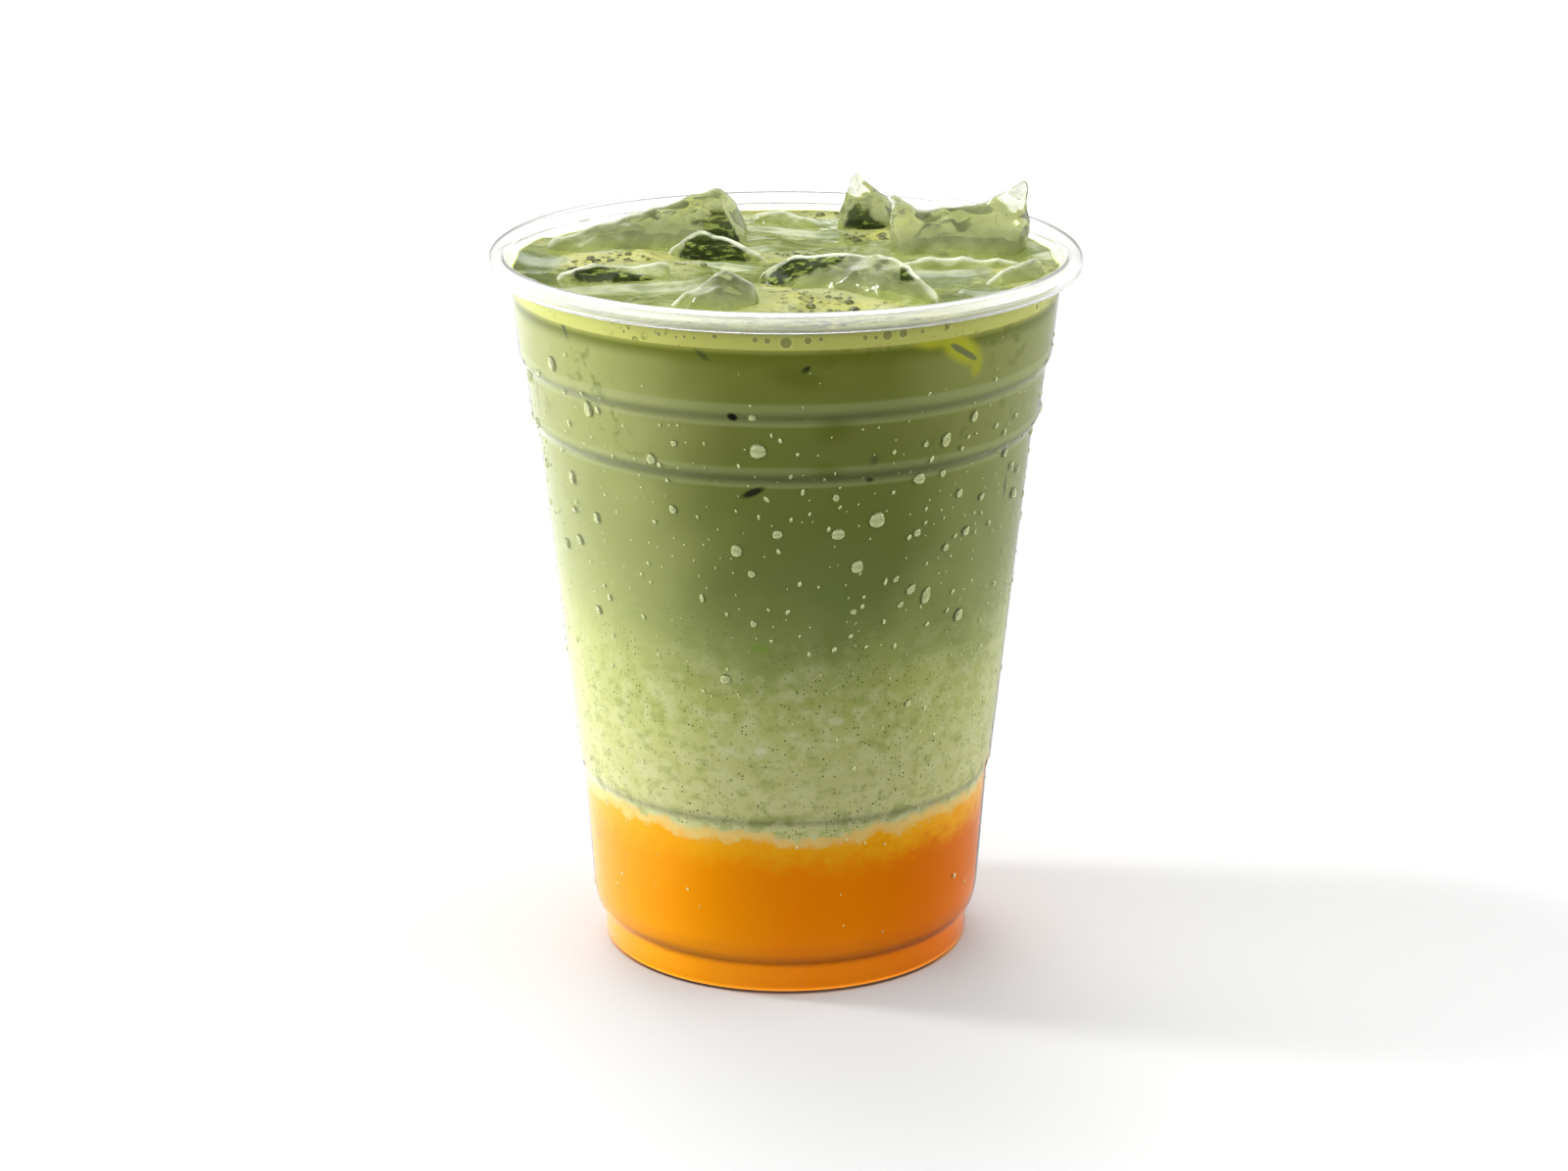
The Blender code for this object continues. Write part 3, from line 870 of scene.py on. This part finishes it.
def ice_distance(x, y):
    """How far a point of the surface is from the nearest ice, and which it is. Inside it is below zero."""
    best = (1e9, None)
    here = Vector((x, y))
    for name, (width, crest) in ICE.items():
        for first, second in zip(crest, crest[1:]):
            a, b = Vector(first[:2]), Vector(second[:2])
            share = max(0.0, min(1.0, (here - a).dot(b - a) / (b - a).length_squared))
            best = min(best, ((here - a.lerp(b, share)).length - width * 0.55, name), key=lambda pair: pair[0])
    return best


def froth_top(x, y):
    """The height of the froth's surface at a point, in millimetres."""
    edge = filling_radius(FROTH_LEVEL)
    share = min(math.hypot(x, y) / edge, 1.0)
    swell = 0.35 * noise.noise(Vector((x, y, 0.0)) / 9.0) * (1 - share**6)
    fine = 0.16 * noise.noise(Vector((x, y, 7.0)) / 3.2) + 0.07 * noise.noise(Vector((x, y, 3.0)) / 1.3)
    top = FROTH_LEVEL + share**12 + swell + fine
    for hump_x, hump_y, height, radius in FROTH_HUMPS:
        top += height * math.exp(-((x - hump_x) ** 2 + (y - hump_y) ** 2) / radius**2)
    near = max(ice_distance(x, y)[0], 0.0)
    return top + 0.9 * math.exp(-near / 1.1)


RINGS = 96
edge = filling_radius(FROTH_LEVEL)
top_points = [(edge * (i / RINGS) ** 0.9, FROTH_LEVEL) for i in range(RINGS + 1)]
line, corners = outline(top_points + [(filling_radius(MATCHA_TOP), MATCHA_TOP), (0.0, MATCHA_TOP)])
shape = spun(line)
for vertex in shape.verts:
    if vertex.co.z > (FROTH_LEVEL - 0.01) * MM:
        vertex.co.z = froth_top(vertex.co.x / MM, vertex.co.y / MM) * MM

# %% [markdown]
# Foam lies in rafts on the drink's own glossy surface. A few large rafts and dark pools are placed where they are on
# the real drink, and noise frays their edges. Foam is made of bubbles of several sizes, so three sizes of Voronoi
# cells draw them: a dark ring where one bubble meets the next, and a paler middle.

# %% The froth's finish
RAFTS = [
    # centre, half width along and across, in millimetres
    ((-25.0, 1.0), (12.0, 9.0)), ((5.0, -22.0), (15.0, 9.5)), ((-24.0, 31.0), (15.0, 5.5)), ((2.0, 41.0), (18.0, 4.0)),
    ((27.0, 27.0), (17.0, 9.0)), ((-37.0, 20.0), (9.0, 6.0)), ((39.0, -6.0), (6.0, 9.0)), ((-13.6, -33.0), (14.0, 7.0)),
    ((-2.0, 9.0), (7.0, 5.0)), ((14.0, -36.0), (14.0, 6.0)),
]
POOLS = [
    ((-41.0, -3.0), (4.5, 12.0)), ((-30.0, -6.5), (6.0, 3.2)), ((26.0, -8.0), (11.0, 5.0)), ((31.0, -22.0), (6.0, 7.0)),
]


def bubbles(finish, place, size, least):
    """Round bubbles in some of the cells: a ring and a middle, each from 0 to 1."""
    away = finish.cells(place, size)
    chance = finish.node("ShaderNodeSeparateColor", inputs={0: away.also("Color")})
    radius = finish.rise(chance, least, 1.0) * 0.42
    inside = finish.rise(radius - away, 0.0, 0.05)
    middle = finish.rise(radius * 0.72 - away, 0.0, 0.10)
    return inside - middle, middle


DISCS = [
    # bubbles pressed against the wall: centre and radius in millimetres
    ((0.1, -45.2, 114.4), 1.05), ((3.5, -45.1, 114.7), 0.65), ((5.5, -44.9, 114.9), 0.42),
    ((-4.7, -45.0, 114.8), 0.5), ((-2.8, -45.1, 114.7), 0.55), ((-11.0, -44.0, 115.1), 0.45),
    ((12.4, -43.5, 114.8), 0.45), ((14.1, -43.0, 114.7), 0.4), ((15.9, -42.4, 114.9), 0.9),
    ((18.4, -41.4, 115.0), 0.8), ((-19.7, -40.7, 114.7), 0.4), ((-14.2, -42.9, 114.6), 0.3),
    ((-15.7, -42.4, 114.7), 0.3), ((-17.0, -41.9, 114.5), 0.28), ((-24.5, -38.0, 114.9), 0.3),
    ((21.5, -40.0, 114.9), 0.4),
]


def froth_finish():
    """Yellow-green foam with bubbles, broken by glossy green film and dark pools."""
    finish = Finish("froth")
    place = finish.position()
    fray = finish.grain(place, 6.0, 4.0, 0.6) - 0.5
    foam = patches(finish, place, RAFTS, fray * 1.5)
    foam = foam.at_least(finish.rise(finish.grain(place, 11.0, 3.0), 0.60, 0.66))
    pool = patches(finish, place, POOLS, fray * 1.2)
    streak = finish.grain(finish.stretched(place, (0.5, 1.3, 1.0)), 5.0, 3.0, 0.55, 1.2)
    colour = finish.blend(finish.rise(streak, 0.40, 0.62), (0.080, 0.100, 0.020), (0.128, 0.148, 0.038))
    colour = finish.blend(pool * 0.7, colour, (0.045, 0.062, 0.014))
    warm = finish.grain(place, 7.0, 2.0)
    foamy = finish.blend(finish.rise(warm, 0.45, 0.65), (0.150, 0.163, 0.042), (0.195, 0.200, 0.034))
    colour = finish.blend(foam, colour, foamy)
    beside = finish.rise(finish.from_axis() - (finish.along(2) - 113.0) * 0.12, 44.2, 44.5)
    colour = finish.blend(beside, colour, (0.62, 0.65, 0.165))
    for centre, size in DISCS:
        rim = spot(finish, place, centre, (size * 1.25, size * 1.25), soft=0.3)
        disc = spot(finish, place, centre, (size, size), soft=0.3)
        colour = finish.blend(rim * beside * 0.6, colour, (0.76, 0.79, 0.30))
        colour = finish.blend(disc * beside * 0.85, colour, (0.27, 0.29, 0.085))
    relief = finish.grain(place, 3.0, 3.0) * 0.5
    for size, least, dark in ((0.9, 0.20, 0.60), (1.8, 0.45, 0.75), (3.4, 0.70, 0.85)):
        ring, middle = bubbles(finish, place, size, least)
        colour = finish.blend(ring * foam * dark, colour, (0.030, 0.037, 0.006))
        colour = finish.blend(middle * foam * dark * 0.5, colour, (0.080, 0.090, 0.020))
        relief = relief - (ring * 0.6 + middle) * foam * (size * 0.35)
    bump = finish.node("ShaderNodeBump", inputs={"Height": relief, "Strength": 0.5, "Distance": 0.5 * MM})
    inputs = {"Base Color": colour, "Roughness": 0.10 + 0.34 * foam, "Normal": bump, "Specular IOR Level": 0.14}
    return finish.ends_in(finish.node("ShaderNodeBsdfPrincipled", inputs=inputs))


froth = piece("froth_raft", shape, froth_finish(), "matcha_froth")

# %% [markdown]
# The larger bubbles stand up from the foam. Each is a thin dome of liquid: clear in the middle, and dark where one
# looks along its skin, so it shows as a ring.


# %% Bubbles that stand up
def dome(around, up):
    """A small sphere pressed flat below, as a mesh that every bead starts from."""
    drop = bmesh.new()
    bmesh.ops.create_uvsphere(drop, u_segments=around, v_segments=up, radius=1.0)
    for vertex in drop.verts:
        x, y, z = vertex.co
        vertex.co = (x * (1.0 - 0.18 * y), y, z * 0.62 if z > 0 else z * 0.06)
    mesh = bpy.data.meshes.new("drop")
    drop.to_mesh(mesh)
    drop.free()
    return mesh


def bubble_finish():
    """See-through, and olive where the skin is seen edge-on."""
    finish = Finish("bubble_skin")
    through = finish.node("ShaderNodeBsdfTransparent")
    skin = finish.node("ShaderNodeBsdfPrincipled", inputs={"Base Color": (0.060, 0.070, 0.012, 1.0), "Roughness": 0.12})
    edge_on = finish.node("ShaderNodeFresnel", inputs={"IOR": 1.75})
    shell = finish.node("ShaderNodeMixShader", inputs={0: edge_on * 2.2 + 0.08, 1: through, 2: skin})
    return finish.ends_in(shell)


FROTH_REACH = 43.6
draw = random.Random(8)
foam_bubbles, small_dome = bmesh.new(), dome(10, 6)
for (x, y), (along, across) in RAFTS:
    for _ in range(round(along * across * 0.9)):
        turn, reach = draw.uniform(0, 2 * math.pi), math.sqrt(draw.random())
        here = Vector((x + along * reach * math.cos(turn), y + across * reach * math.sin(turn)))
        radius = 0.26 + 0.62 * draw.random() ** 2.5
        if here.length > FROTH_REACH or ice_distance(*here)[0] < radius:
            continue
        before = len(foam_bubbles.verts)
        foam_bubbles.from_mesh(small_dome)
        foam_bubbles.verts.ensure_lookup_table()
        base = Vector((here.x, here.y, froth_top(*here) - 0.05))
        place = Matrix.Scale(MM, 4) @ Matrix.Translation(base) @ Matrix.Scale(radius, 4)
        bmesh.ops.transform(foam_bubbles, matrix=place, verts=foam_bubbles.verts[before:])
bmesh.ops.recalc_face_normals(foam_bubbles, faces=foam_bubbles.faces)
piece("foam_bubbles", foam_bubbles, bubble_finish(), None)

# %% [markdown]
# The ice sits in the drink, so the drink and the froth have hollows where it is. Each hollow is a hair smaller than
# its ice, which leaves no film of air between them.


# %% Hollows for the ice
def hollowed(layer_piece):
    """Cuts the ice's hollows out of a piece for good."""
    cutters = bpy.data.collections.new("hollows")
    for cage in cages.values():
        mesh = bpy.data.meshes.new("hollow")
        cutter_shape = rounded_ice(cage, 3, shrink=0.12, ripple=0.55)
        cutter_shape.to_mesh(mesh)
        cutter_shape.free()
        cutters.objects.link(bpy.data.objects.new("hollow", mesh))
    bpy.context.scene.collection.children.link(cutters)
    cut = layer_piece.modifiers.new("Hollows", "BOOLEAN")
    cut.operation = "DIFFERENCE"
    cut.operand_type = "COLLECTION"
    cut.collection = cutters
    cut.solver = "MANIFOLD"
    bpy.context.view_layer.update()
    mesh = bpy.data.meshes.new_from_object(layer_piece.evaluated_get(bpy.context.evaluated_depsgraph_get()))
    layer_piece.modifiers.clear()
    layer_piece.data = mesh
    for cutter in list(cutters.objects):
        bpy.data.objects.remove(cutter)
    bpy.data.collections.remove(cutters)
    print(layer_piece.name, "now has", len(mesh.polygons), "faces")


hollowed(matcha)
hollowed(froth)

# %% [markdown]
# ## Beads of water
#
# A cold cup gathers dew: hundreds of tiny flat-bottomed domes on the outside of the wall, and a few larger ones that
# have begun to run, so they are longer than wide. Each is a small sphere with its lower half pressed flat. Beads that
# touch run together, so a new one is left out where it would come too near to another.


# %% Beads on the wall
def bead(beads, drop, angle, height, half_width, stretch, lean=0.0):
    """Adds one bead at an angle from the front, in degrees, and a height. It can lean, in degrees."""
    slope = (wall_radius(height + 0.4) - wall_radius(height - 0.4)) / 0.8
    around = math.radians(angle)
    out = Vector((math.sin(around), -math.cos(around), 0.0))
    along = Vector((out.x * slope, out.y * slope, 1.0)).normalized()
    side = Vector((math.cos(around), math.sin(around), 0.0))
    normal = side.cross(along).normalized()
    tip = Matrix.Rotation(math.radians(lean), 3, normal)
    side, along = tip @ side, tip @ along
    centre = out * wall_radius(height) + Vector((0.0, 0.0, height))
    turned = Matrix((side * half_width, along * stretch * half_width, normal * half_width)).transposed().to_4x4()
    before = len(beads.verts)
    beads.from_mesh(drop)
    beads.verts.ensure_lookup_table()
    place = Matrix.Scale(MM, 4) @ Matrix.Translation(centre) @ turned
    bmesh.ops.transform(beads, matrix=place, verts=beads.verts[before:])


NAMED_BEADS = [
    # degrees from the front, height, half width, length over width
    (-5.8, 96.6, 1.25, 1.05), (-11.2, 79.4, 0.85, 1.3), (-1.8, 82.4, 0.8, 1.0), (21.0, 84.1, 1.25, 1.15),
    (11.9, 82.2, 1.05, 0.95), (16.7, 76.4, 0.95, 1.25), (35.4, 69.7, 0.72, 2.1), (46.9, 64.7, 0.75, 1.5),
    (-14.8, 57.1, 0.85, 1.0), (-46.6, 99.9, 0.8, 1.7), (-57.0, 105.9, 0.75, 1.75), (-64.5, 103.0, 0.5, 1.3),
    (-30.0, 93.7, 0.75, 1.3), (-57.7, 86.4, 0.6, 2.2), (36.6, 96.2, 0.75, 1.7), (31.3, 96.0, 0.4, 1.4),
    (31.0, 90.1, 1.0, 1.0), (37.4, 90.2, 0.5, 1.3), (43.1, 86.1, 0.6, 1.3), (11.2, 88.3, 0.5, 1.3),
    (31.5, 80.9, 0.6, 1.2), (40.3, 77.3, 0.5, 1.4),
]
MM_PER_DEGREE = 0.72
draw = random.Random(5)
large, small = dome(20, 12), dome(8, 5)
drops, dew = bmesh.new(), bmesh.new()
taken = []


def is_free(angle, height, gap):
    """Whether no bead lies within a distance of a place on the wall, in millimetres. If so, it is taken."""
    free = all(math.hypot((angle - a) * MM_PER_DEGREE, height - h) > gap for a, h in taken)
    if free:
        taken.append((angle, height))
    return free


def lean_at(angle, spread):
    """How far a bead leans from upright, in degrees: one way at the front right, the other way elsewhere."""
    return (-25.0 if 0 < angle < 90 else 22.0) + draw.uniform(-spread, spread)


for place in NAMED_BEADS:
    taken.append(place[:2])
    bead(drops, large, *place, lean=-15.0 if place[0] > 15 else 10.0)
for _ in range(70):
    angle, size = draw.uniform(-180, 180), draw.uniform(0.38, 0.68)
    lean = lean_at(angle, 15)
    height, stretch = draw.triangular(50.0, 108.0, 84.0), draw.uniform(1.1, 1.8)
    if is_free(angle, height, 3.0):
        bead(drops, large, angle, height, size, stretch, lean)
for _ in range(1250):
    height = draw.triangular(36.0, 112.0, 90.0) if draw.random() < 0.94 else draw.uniform(8.0, 36.0)
    angle, half_width = draw.uniform(-180, 180), 0.11 + 0.26 * draw.random() ** 4
    lean, stretch = lean_at(angle, 20), draw.uniform(1.1, 2.2)
    if is_free(angle, height, 1.3):
        bead(dew, small, angle, height, half_width, stretch, lean)
for name, shape, finish in (("water_drops", drops, drop_finish), ("dew", dew, dew_finish)):
    bmesh.ops.recalc_face_normals(shape, faces=shape.faces)
    piece(name, shape, finish, None)
